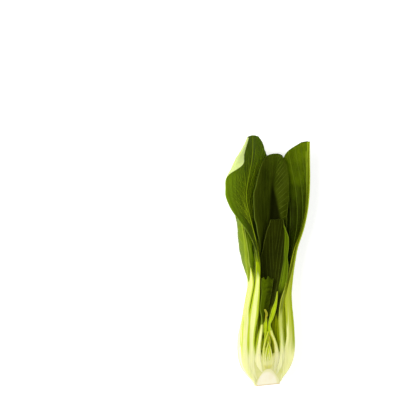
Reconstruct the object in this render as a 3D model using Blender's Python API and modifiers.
"""Half a head of bok choy, cut lengthwise by a knife and lying on its back with the cut face up.

Each leaf is one solid: a fleshy stalk, spoon-shaped at its foot, that thins out into a green blade with a
midrib. The head's axis runs along +Y from the root end to the leaf tips, in the plane of the cut.
The origin is on the surface below, in the middle of the head's length and width.
"""

import math
from collections import namedtuple

import bmesh
import bpy
import numpy as np
from mathutils import Matrix, Vector

MM = 0.001

# Driving dimensions, in millimetres. The tables of sections below are in millimetres and degrees too.
CUT_HEIGHT = 25.3  # the knife's plane over the surface below
STEM_PROFILE = [(0.0, 11.0), (1.5, 10.8), (4.6, 9.0), (7.4, 7.0), (10.5, 4.6), (12.8, 2.3)]
STEM_TIP = 14.0
MARGIN = 0.8  # thickness of a stalk's margins and of the blades between the ribs
FOLD_START = 0.62  # where a folded margin starts to turn over, as a part of the way out
FOLD_END = 0.82
KNIFE_REACH = 70.0

# One cross-section of a leaf, at the height y along the head. The outer side of the midrib is at (x, z)
# from the head's axis and faces the angle `face`: 0 is +X and -90 is down. From there one arc runs to
# each margin, with its length and how far it turns inwards on the way. The low side is the one at
# smaller angles. Flesh is the thickness at the midrib, and spread is how far to the sides it reaches.
# Fold is how far the margin of the low side folds over.
Section = namedtuple(
    "Section", "y x z face low high turn_low turn_high flesh spread fold", defaults=(0.0,)
)

# The rest of a leaf: how far its margins stay behind its tip, the height and number of the waves along
# its margins, the height up to which the knife has cut it, and its rows and columns of faces.
Leaf = namedtuple("Leaf", "name sections drop wave waves cut_to rows columns")


def wrap(y, radius, face, low, high, flesh, tuck=1.0):
    """A section that hugs the head, between two angles beside its midrib; more tuck curls it tighter."""
    angle = math.radians(face)
    arc_low = radius * math.radians(low)
    arc_high = radius * math.radians(high)
    return Section(
        y,
        radius * math.cos(angle),
        radius * math.sin(angle),
        face,
        arc_low,
        arc_high,
        low * tuck,
        high * tuck,
        flesh,
        0.55 * (arc_low + arc_high) / 2,
    )


LEFT_OUTER = Leaf(
    "leaf_left_outer",
    [
        wrap(2.0, 12.3, -178, 14, 44, 1.0),
        wrap(4.6, 13.8, -178, 14, 42, 1.9),
        wrap(8.0, 17.0, -178, 14, 43, 3.2, 1.1),
        wrap(12.0, 20.2, -178, 14, 45, 4.0, 1.2),
        wrap(20.0, 23.8, -178, 14, 51, 4.7, 1.22),
        wrap(28.0, 24.9, -178, 14, 54, 5.0, 1.22),
        wrap(40.0, 24.3, -176, 14, 53, 4.9, 1.22),
        Section(52.0, -22.9, -1.0, -164, 4.5, 19.0, 12, 46, 4.7, 9.0),
        Section(62.0, -21.2, -1.0, -156, 4.0, 16.0, 10, 30, 4.5, 8.5),
        Section(72.0, -19.4, -1.0, -154, 3.5, 14.0, 10, 28, 4.2, 8.0),
        Section(83.0, -17.5, -1.2, -154, 3.0, 12.0, 10, 34, 3.6, 7.0),
        Section(92.0, -17.2, -1.8, -168, 2.2, 16.5, 10, 58, 3.0, 5.0),
        Section(104.0, -17.8, -3.0, -186, 1.8, 22.0, 8, 94, 2.4, 3.4),
        Section(118.0, -18.6, -4.8, -194, 1.6, 25.0, 5, 112, 2.0, 2.6),
        Section(132.0, -19.4, -8.2, -196, 1.6, 21.5, 5, 118, 1.7, 2.2),
        Section(142.0, -18.8, -11.2, -190, 1.6, 15.0, 5, 95, 1.5, 2.0),
        Section(150.0, -17.6, -13.6, -184, 1.6, 8.0, 5, 55, 1.3, 1.8),
        Section(156.0, -16.8, -15.0, -180, 1.4, 2.6, 5, 15, 1.1, 1.6),
    ],
    drop=5.0,
    wave=0.5,
    waves=2.0,
    cut_to=100.0,
    rows=24,
    columns=12,
)

LEFT = Leaf(
    "leaf_left",
    [
        wrap(5.2, 10.4, -158, 26, 46, 1.1),
        wrap(8.0, 12.4, -158, 27, 47, 3.2),
        wrap(12.0, 14.7, -159, 28, 48, 4.4),
        wrap(16.0, 16.6, -162, 29, 51, 4.4),
        wrap(20.0, 17.7, -165, 28, 54, 4.6),
        wrap(28.0, 17.2, -168, 27, 59, 5.0),
        wrap(44.0, 17.3, -170, 25, 58, 6.4),
        wrap(56.0, 16.8, -171, 22, 51, 8.2),
        wrap(68.0, 14.5, -171, 20, 49, 7.2),
        Section(84.0, -11.4, -1.8, -162, 4.0, 10.0, 30, 36, 5.2, 5.5),
        Section(97.0, -10.0, -3.0, -152, 3.8, 7.4, 30, 28, 4.0, 4.2),
        Section(111.0, -9.6, -5.4, -138, 4.0, 6.2, 20, 16, 3.2, 3.2),
        Section(118.0, -9.8, -7.4, -131, 6.8, 7.4, 12, 6, 3.0, 3.0),
        Section(125.0, -10.3, -9.3, -126, 10.8, 10.5, 10, 0, 2.8, 2.8),
        Section(133.0, -11.4, -10.9, -118, 16.0, 16.0, 10, -2, 2.6, 2.6),
        Section(141.0, -12.6, -12.2, -114, 21.5, 19.0, 10, -6, 2.4, 2.4),
        Section(148.0, -13.5, -12.9, -111, 25.0, 20.5, 12, -6, 2.3, 2.3),
        Section(156.0, -13.3, -12.9, -109, 28.5, 22.0, 12, -6, 2.1, 2.2),
        Section(165.0, -12.0, -12.2, -108, 30.0, 22.0, 10, -4, 1.9, 2.1),
        Section(170.0, -11.0, -11.7, -108, 31.3, 21.0, 6, 0, 1.8, 2.1),
        Section(175.5, -10.0, -11.0, -108, 33.0, 20.0, 2, 3, 1.7, 2.0, 62),
        Section(181.0, -9.4, -10.3, -108, 29.0, 18.5, 0, 6, 1.6, 1.9, 158),
        Section(187.0, -9.3, -9.6, -108, 21.0, 16.5, 0, 8, 1.5, 1.8, 166),
        Section(194.0, -9.8, -8.8, -108, 11.5, 12.5, 0, 8, 1.3, 1.6, 160),
        Section(199.8, -10.4, -8.0, -108, 6.0, 9.0, 0, 6, 1.1, 1.5, 140),
    ],
    drop=1.5,
    wave=0.4,
    waves=2.5,
    cut_to=104.0,
    rows=36,
    columns=20,
)

BACK = Leaf(
    "leaf_back",
    [
        wrap(2.0, 12.3, -90, 38, 38, 1.0),
        wrap(4.6, 13.8, -90, 40, 40, 1.9),
        wrap(8.0, 17.0, -90, 41, 41, 3.1),
        wrap(12.0, 20.4, -90, 39, 42, 3.8),
        wrap(20.0, 24.4, -90, 38, 43, 4.4, 0.99),
        wrap(30.0, 25.9, -90, 36, 42, 4.8),
        wrap(45.0, 25.0, -89, 33, 39, 4.3),
        Section(62.0, 1.6, -23.0, -89, 11.0, 14.5, 33, 36, 3.8, 8.0),
        Section(80.0, 3.2, -21.8, -88, 9.2, 13.5, 24, 32, 3.3, 6.5),
        Section(96.0, 4.0, -22.8, -88, 12.0, 15.5, 18, 26, 2.9, 5.0),
        Section(112.0, 5.0, -24.3, -89, 17.0, 20.0, 16, 20, 2.5, 3.4),
        Section(128.0, 6.0, -25.2, -90, 21.5, 25.0, 14, 16, 2.2, 2.6),
        Section(144.0, 6.6, -25.5, -90, 24.0, 27.0, 14, 16, 1.9, 2.2),
        Section(158.0, 6.8, -25.4, -90, 22.5, 24.0, 16, 18, 1.6, 2.0),
        Section(168.0, 6.8, -25.0, -90, 17.0, 17.5, 16, 16, 1.3, 1.8),
        Section(175.0, 6.6, -24.4, -90, 7.0, 7.0, 10, 10, 1.0, 1.5),
    ],
    drop=2.0,
    wave=0.6,
    waves=2.0,
    cut_to=0.0,
    rows=26,
    columns=14,
)

CENTRE = Leaf(
    "leaf_centre",
    [
        wrap(5.2, 10.5, -65, 38, 38, 1.1),
        wrap(8.0, 12.4, -65, 39, 39, 2.5),
        wrap(12.0, 14.8, -65, 40, 39, 2.5),
        wrap(16.0, 17.0, -65, 40, 38, 2.9, 1.02),
        wrap(20.0, 18.8, -65, 41, 37, 3.3, 1.02),
        wrap(30.0, 20.2, -65, 43, 36, 3.8, 1.02),
        wrap(45.0, 19.6, -65, 42, 36, 3.8, 1.02),
        wrap(62.0, 18.0, -67, 38, 40, 3.5, 1.02),
        Section(80.0, 7.2, -16.2, -72, 11.5, 13.5, 44, 52, 3.1, 5.5),
        Section(96.0, 9.6, -16.8, -78, 12.6, 14.5, 58, 54, 2.8, 4.2),
        Section(112.0, 11.8, -17.6, -82, 17.4, 15.0, 74, 62, 2.5, 3.2),
        Section(121.0, 12.8, -18.0, -84, 23.0, 16.4, 74, 68, 2.3, 2.8),
        Section(130.0, 13.4, -18.2, -84, 26.5, 17.6, 72, 72, 2.2, 2.5),
        Section(144.0, 14.0, -18.0, -84, 29.0, 18.0, 67, 72, 1.9, 2.2),
        Section(158.0, 13.8, -16.8, -86, 26.7, 16.0, 58, 66, 1.7, 2.0),
        Section(170.0, 13.4, -14.8, -87, 20.8, 12.0, 51, 52, 1.4, 1.8),
        Section(178.0, 13.0, -13.2, -88, 13.0, 8.5, 38, 34, 1.2, 1.6),
        Section(182.5, 12.8, -12.2, -88, 5.0, 4.5, 10, 12, 1.0, 1.4),
    ],
    drop=1.5,
    wave=0.4,
    waves=2.0,
    cut_to=0.0,
    rows=28,
    columns=16,
)

RIGHT_OUTER = Leaf(
    "leaf_right_outer",
    [
        wrap(2.0, 12.3, 0, 45, 12, 1.0),
        wrap(4.6, 13.8, 0, 44, 12, 1.9),
        wrap(8.0, 17.0, 0, 45, 12, 3.6, 1.1),
        wrap(12.0, 20.2, 0, 49, 12, 5.0, 1.2),
        wrap(20.0, 23.8, 0, 54, 12, 6.4, 1.22),
        wrap(28.0, 24.9, 0, 56, 12, 7.2, 1.22),
        wrap(40.0, 24.6, 0, 55, 12, 7.2, 1.22),
        wrap(52.0, 23.6, 0, 53, 12, 6.8, 1.2),
        wrap(62.0, 22.4, -1, 50, 12, 6.4, 1.18),
        wrap(72.0, 21.9, -2, 48, 12, 5.9, 1.15),
        Section(83.0, 23.0, 0.0, -4, 18.0, 3.0, 46, 8, 5.0, 5.0),
        Section(96.0, 25.0, 0.0, -8, 19.0, 2.4, 38, 6, 3.8, 3.8),
        Section(108.0, 26.8, 0.0, -13, 22.0, 2.0, 32, 4, 3.2, 3.0),
        Section(122.0, 31.0, 0.0, -20, 24.0, 1.8, 26, 4, 3.0, 2.7),
        Section(136.0, 35.2, 0.0, -26, 25.0, 1.8, 22, 4, 2.8, 2.5),
        Section(150.0, 37.6, 0.0, -31, 25.0, 1.8, 19, 4, 2.5, 2.3),
        Section(164.0, 38.2, 0.0, -36, 24.0, 1.8, 16, 4, 2.1, 2.1),
        Section(176.0, 37.9, 0.0, -41, 21.0, 1.8, 14, 4, 1.8, 1.9),
        Section(186.0, 37.8, 0.0, -45, 14.0, 1.8, 10, 4, 1.5, 1.8),
        Section(194.0, 38.2, 0.0, -48, 4.5, 1.6, 4, 4, 1.2, 1.7),
    ],
    drop=1.0,
    wave=0.4,
    waves=2.0,
    cut_to=200.0,
    rows=30,
    columns=14,
)

INNER_TRIMMED = Leaf(
    "leaf_inner_trimmed",
    [
        wrap(8.0, 8.4, -38, 46, 38, 1.1),
        wrap(10.5, 10.3, -38, 47, 40, 2.6),
        wrap(13.0, 12.0, -38, 48, 42, 3.5),
        wrap(17.0, 13.8, -38, 50, 44, 3.7),
        wrap(22.0, 15.2, -38, 52, 46, 3.9),
        wrap(30.0, 15.6, -38, 54, 46, 4.2),
        wrap(40.0, 14.9, -38, 54, 46, 4.3),
        wrap(52.0, 13.9, -38, 54, 46, 4.4),
        wrap(66.0, 13.6, -40, 54, 46, 4.2, 0.95),
        Section(78.0, 10.8, -9.4, -48, 13.0, 11.5, 50, 50, 3.6, 6.0),
        Section(90.0, 11.4, -10.8, -58, 13.0, 12.0, 44, 58, 3.1, 4.6),
        Section(104.0, 12.4, -12.0, -68, 12.0, 12.5, 34, 66, 2.6, 3.2),
        Section(118.0, 13.2, -12.0, -74, 9.0, 12.0, 26, 68, 2.3, 2.6),
        Section(130.4, 13.4, -11.0, -76, 5.0, 7.5, 14, 50, 2.1, 2.4),
    ],
    drop=0.0,
    wave=0.3,
    waves=1.5,
    cut_to=82.0,
    rows=20,
    columns=14,
)

INNER_LEFT = Leaf(
    "leaf_inner_left",
    [
        wrap(11.0, 5.9, -150, 32, 52, 1.0),
        wrap(13.0, 7.8, -150, 32, 54, 2.2),
        wrap(16.0, 10.0, -150, 32, 58, 3.3),
        wrap(20.0, 11.8, -150, 32, 60, 4.0),
        wrap(28.0, 11.1, -150, 32, 62, 3.9),
        wrap(37.0, 9.8, -150, 30, 62, 3.6),
        Section(45.0, -7.0, -3.4, -142, 4.0, 8.6, 34, 60, 2.6, 4.0),
        Section(53.0, -4.4, -5.4, -128, 4.0, 8.0, 34, 42, 2.0, 3.0),
        Section(62.0, -1.8, -6.2, -112, 4.6, 6.2, 26, 30, 1.7, 2.2),
        Section(73.0, 1.4, -5.6, -98, 5.6, 6.0, 20, 24, 1.4, 2.0),
        Section(85.0, 2.8, -4.6, -94, 5.9, 6.2, 14, 20, 1.1, 1.8),
    ],
    drop=0.0,
    wave=0.5,
    waves=2.5,
    cut_to=53.0,
    rows=18,
    columns=10,
)

INNER_RIGHT = Leaf(
    "leaf_inner_right",
    [
        wrap(11.0, 5.9, -30, 50, 32, 1.0),
        wrap(13.0, 7.2, -30, 52, 32, 1.8),
        wrap(16.0, 8.8, -30, 54, 32, 2.6),
        wrap(20.0, 10.1, -30, 54, 32, 3.1),
        wrap(28.0, 9.8, -30, 54, 32, 3.5),
        wrap(36.0, 8.2, -30, 48, 32, 3.5),
        Section(42.0, 5.0, -1.8, -30, 4.6, 3.2, 40, 30, 2.8, 3.0),
        Section(48.0, 2.4, -2.2, -50, 2.2, 2.2, 30, 26, 1.7, 2.0),
        Section(56.0, 3.8, -2.6, -66, 2.6, 2.2, 30, 30, 1.4, 1.6),
        Section(64.0, 5.8, -2.4, -70, 2.4, 2.2, 26, 26, 1.2, 1.4),
        Section(74.5, 8.2, -1.4, -70, 0.7, 0.7, 10, 10, 0.9, 1.0),
    ],
    drop=0.0,
    wave=0.2,
    waves=1.5,
    cut_to=46.0,
    rows=18,
    columns=8,
)

LEAVES = [LEFT_OUTER, LEFT, BACK, CENTRE, RIGHT_OUTER, INNER_TRIMMED, INNER_LEFT, INNER_RIGHT]

# The heart: each tiny leaf by its midrib's angle, its foot's radius, and its tip's height, x and z.
HEART_LEAVES = [
    (-165, 4.2, 44.0, -3.6, -1.2),
    (-120, 4.2, 53.0, -3.2, -1.4),
    (-95, 3.8, 60.0, -3.4, -2.2),
    (-35, 3.8, 35.0, 1.0, -1.4),
    (-60, 2.6, 34.0, 0.2, -0.8),
]
HEART_FOOT = 15.2
BUD_CENTRE = 24.0
BUD_LENGTH = 17.0
BUD_RADIUS = 4.3


def material(name, colour, roughness):
    """A matt plant surface."""
    made = bpy.data.materials.new(name)
    made.use_nodes = True
    shader = made.node_tree.nodes["Principled BSDF"]
    shader.inputs["Base Color"].default_value = (*colour, 1.0)
    shader.inputs["Roughness"].default_value = roughness
    shader.inputs["Metallic"].default_value = 0.0
    return made


def collection(name):
    made = bpy.data.collections.new(name)
    bpy.context.scene.collection.children.link(made)
    return made


def smooth_rows(sections, rows):
    """Sections on a smooth curve through the given ones, closer together towards the foot and the tip."""
    knots = np.array(sections, dtype=float)
    y = knots[:, 0]
    slopes = np.gradient(knots, y, axis=0)
    even = np.linspace(0.0, 1.0, rows + 1)
    heights = y[0] + (y[-1] - y[0]) * (even - 0.07 * np.sin(2 * math.pi * even))
    below = np.clip(np.searchsorted(y, heights) - 1, 0, len(y) - 2)
    span = (y[below + 1] - y[below])[:, None]
    s = (heights - y[below])[:, None] / span
    start = knots[below] * (1 + 2 * s) * (1 - s) ** 2
    start += slopes[below] * span * s * (1 - s) ** 2
    end = knots[below + 1] * s**2 * (3 - 2 * s)
    end += slopes[below + 1] * span * s**2 * (s - 1)
    return [Section(*row) for row in start + end]


def side_points(section, side, cells):
    """Points from the midrib to one margin, as (x, z, distance from the midrib, part of the way out)."""
    length, turn = (section.low, section.turn_low) if side < 0 else (section.high, section.turn_high)
    angle = math.radians(section.face)
    outward = Vector((math.cos(angle), math.sin(angle)))
    along = Vector((-math.sin(angle), math.cos(angle))) * side
    point = Vector((section.x, section.z))
    points = [(point.x, point.y, 0.0, 0.0)]
    for cell in range(cells):
        middle = (cell + 0.5) / cells
        heading = math.radians(turn) * middle
        if side < 0:
            part = min(1.0, max(0.0, (middle - FOLD_START) / (FOLD_END - FOLD_START)))
            heading += math.radians(section.fold) * part
        point = point + (along * math.cos(heading) - outward * math.sin(heading)) * length / cells
        out = (cell + 1) / cells
        points.append((point.x, point.y, out * length, out))
    return points


def leaf_sheet(leaf):
    """The leaf's outer side as a grid, with the thickness at each point."""
    rows = smooth_rows(leaf.sections, leaf.rows)
    half = leaf.columns // 2
    first, last = leaf.sections[0].y, leaf.sections[-1].y
    grid = []
    for index, section in enumerate(rows):
        low = side_points(section, -1, half)[:0:-1]
        high = side_points(section, 1, half)
        way = (section.y - first) / (last - first)
        open_part = min(1.0, max(0.0, (way - 0.5) / 0.3))
        normal = Vector((math.cos(math.radians(section.face)), math.sin(math.radians(section.face))))
        line = []
        for column, (x, z, distance, out) in enumerate(low + high):
            side = -1 if column < half else 1
            height = leaf.wave * min(1.0, distance / 8.0)
            ripple = height * math.sin(2 * math.pi * leaf.waves * way + side) * out**3 * open_part
            x += normal.x * ripple
            z = max(z + normal.y * ripple, -CUT_HEIGHT)
            y = section.y - leaf.drop * out**2 * open_part**2
            thick = MARGIN + (section.flesh - MARGIN) * math.exp(-((distance / section.spread) ** 2))
            line.append((x, y, z, thick))
        grid.append(line)
    return grid


def leaf_object(leaf, parts, stalk, blade, neck):
    """One leaf: a grid in the shape of its outer side, thickened inwards."""
    grid = leaf_sheet(leaf)
    thickest = max(point[3] for line in grid for point in line)
    bm = bmesh.new()
    bmesh.ops.create_grid(bm, x_segments=leaf.columns, y_segments=leaf.rows, size=1.0)
    mesh = bpy.data.meshes.new(leaf.name)
    weights = bm.verts.layers.deform.verify()
    for vert in bm.verts:
        column = round((vert.co.x + 1.0) / 2.0 * leaf.columns)
        row = round((vert.co.y + 1.0) / 2.0 * leaf.rows)
        x, y, z, thick = grid[row][column]
        vert.co = Vector((x, y, z)) * MM
        vert[weights][0] = thick / thickest
    bmesh.ops.triangulate(bm, faces=bm.faces, quad_method="SHORT_EDGE")
    for face in bm.faces:
        face.material_index = 1 if face.calc_center_median().y > neck * MM else 0
        face.smooth = True
    bm.to_mesh(mesh)
    bm.free()
    made = bpy.data.objects.new(leaf.name, mesh)
    parts.objects.link(made)
    mesh.materials.append(stalk)
    mesh.materials.append(blade)
    made.vertex_groups.new(name="thickness")
    solid = made.modifiers.new("Flesh", "SOLIDIFY")
    solid.thickness = thickest * MM
    solid.offset = 1.0
    solid.vertex_group = "thickness"
    solid.use_even_offset = False
    return made


def knife(name, cut_to, cutters):
    """The block over the knife's plane, up to a height along the head."""
    bpy.ops.mesh.primitive_cube_add(size=1.0)
    block = bpy.context.active_object
    block.name = name
    length = cut_to + 10.0
    block.data.transform(Matrix.Diagonal((2 * KNIFE_REACH * MM, length * MM, 40.0 * MM, 1.0)))
    block.data.transform(Matrix.Translation((0.0, (length / 2 - 10.0) * MM, 20.0 * MM)))
    for home in block.users_collection:
        home.objects.unlink(block)
    cutters.objects.link(block)
    block.hide_render = True
    block.display_type = "WIRE"
    return block


def cut(target, block):
    step = target.modifiers.new("Knife", "BOOLEAN")
    step.operation = "DIFFERENCE"
    step.solver = "EXACT"
    step.object = block
    return step


def make_stem(parts, cutters, look):
    """The stem's cone, turned about the head's axis; the knife has halved it."""
    outline = [(0.0, STEM_TIP)] + [(radius, y) for y, radius in reversed(STEM_PROFILE)] + [(0.0, 0.0)]
    points = [(radius * MM, y * MM, 0.0) for radius, y in outline]
    mesh = bpy.data.meshes.new("stem")
    mesh.from_pydata(points, [(i, i + 1) for i in range(len(points) - 1)], [])
    stem = bpy.data.objects.new("stem", mesh)
    parts.objects.link(stem)
    mesh.materials.append(look)
    turned = stem.modifiers.new("Turn", "SCREW")
    turned.axis = "Y"
    turned.angle = 2 * math.pi
    turned.steps = 28
    turned.render_steps = 28
    turned.use_merge_vertices = True
    turned.merge_threshold = 0.00001
    turned.use_normal_flip = False
    cut(stem, knife("knife_stem", 20.0, cutters))
    return stem


def heart_leaf(index, angle, radius, tip, tip_x, tip_z):
    """A tiny leaf: a cupped strip that narrows to a point."""
    x, z = radius * math.cos(math.radians(angle)), radius * math.sin(math.radians(angle))
    middle = (HEART_FOOT + tip) / 2
    bent_x, bent_z = 0.7 * x + 0.3 * tip_x, 0.7 * z + 0.3 * tip_z
    return Leaf(
        f"heart_leaf_{index}",
        [
            Section(HEART_FOOT + 3.0, 0.55 * x, 0.55 * z, angle, 2.2, 2.2, 50, 50, 1.2, 2.0),
            Section(middle - 4.0, x, z, angle, 2.6, 2.6, 46, 46, 1.1, 1.6),
            Section(middle + 5.0, bent_x, bent_z, angle, 2.0, 2.0, 40, 40, 1.0, 1.4),
            Section(tip, tip_x, tip_z, angle, 0.6, 0.6, 10, 10, 0.8, 1.0),
        ],
        drop=0.0,
        wave=0.0,
        waves=1.0,
        cut_to=0.0,
        rows=8,
        columns=6,
    )


def make_heart(parts, cutters, look):
    """The bud over the stem: tiny leaves grown together with a spindle, cut by the knife."""
    bpy.ops.mesh.primitive_uv_sphere_add(segments=18, ring_count=10, radius=1.0)
    heart = bpy.context.active_object
    heart.name = "heart"
    heart.data.name = "heart"
    turned = Matrix.Rotation(math.radians(-90), 4, "X")
    sized = Matrix.Diagonal((BUD_RADIUS * MM, BUD_LENGTH / 2 * MM, BUD_RADIUS * MM, 1.0))
    heart.data.transform(Matrix.Translation((0.0, BUD_CENTRE * MM, 0.0)) @ sized @ turned)
    for home in heart.users_collection:
        home.objects.unlink(heart)
    parts.objects.link(heart)
    tiny = collection("heart_leaves")
    for index, shape in enumerate(HEART_LEAVES):
        leaf_object(heart_leaf(index, *shape), tiny, look, look, 0.0)
    heart.data.materials.clear()
    heart.data.materials.append(look)
    grow = heart.modifiers.new("Grow together", "BOOLEAN")
    grow.operation = "UNION"
    grow.operand_type = "COLLECTION"
    grow.solver = "MANIFOLD"
    grow.collection = tiny
    block = knife("knife_heart", 80.0, cutters)
    cut(heart, block)
    fused = bpy.data.meshes.new_from_object(heart.evaluated_get(bpy.context.evaluated_depsgraph_get()))
    heart.modifiers.clear()
    heart.data = fused
    for leaf in list(tiny.objects):
        bpy.data.objects.remove(leaf)
    bpy.data.collections.remove(tiny)
    bpy.data.objects.remove(block)
    heart.data.materials.clear()
    heart.data.materials.append(look)
    return heart


def place(objects):
    """Move the head so that its width and length are centred on the origin and it lies on the surface."""
    bpy.context.view_layer.update()
    graph = bpy.context.evaluated_depsgraph_get()
    corners = []
    for item in objects:
        made = item.evaluated_get(graph)
        corners += [made.matrix_world @ Vector(corner) for corner in made.bound_box]
    middle_x = (min(c.x for c in corners) + max(c.x for c in corners)) / 2
    middle_y = (min(c.y for c in corners) + max(c.y for c in corners)) / 2
    return Matrix.Translation((-middle_x, -middle_y, CUT_HEIGHT * MM))


def main():
    for item in list(bpy.data.objects):
        bpy.data.objects.remove(item)
    parts = collection("Bok choy half")
    cutters = collection("Knives")
    stem_look = material("stem flesh", (0.86, 0.83, 0.60), 0.5)
    stem = make_stem(parts, cutters, stem_look)
    heart_look = material("heart", (0.62, 0.66, 0.12), 0.5)
    made = [stem, make_heart(parts, cutters, heart_look)]
    for leaf in LEAVES:
        inner = leaf in (INNER_LEFT, INNER_RIGHT)
        stalk = material(f"{leaf.name} stalk", (0.80, 0.84, 0.42), 0.42)
        green = (0.35, 0.45, 0.02) if leaf is INNER_RIGHT else (0.10, 0.18, 0.01)
        blade = material(f"{leaf.name} blade", green, 0.5)
        item = leaf_object(leaf, parts, stalk, blade, 50.0 if inner else 88.0)
        if leaf.cut_to:
            cut(item, knife(f"knife_{leaf.name}", leaf.cut_to, cutters))
        made.append(item)
    shift = place(made)
    for item in made + list(cutters.objects):
        item.matrix_world = shift @ item.matrix_world


main()
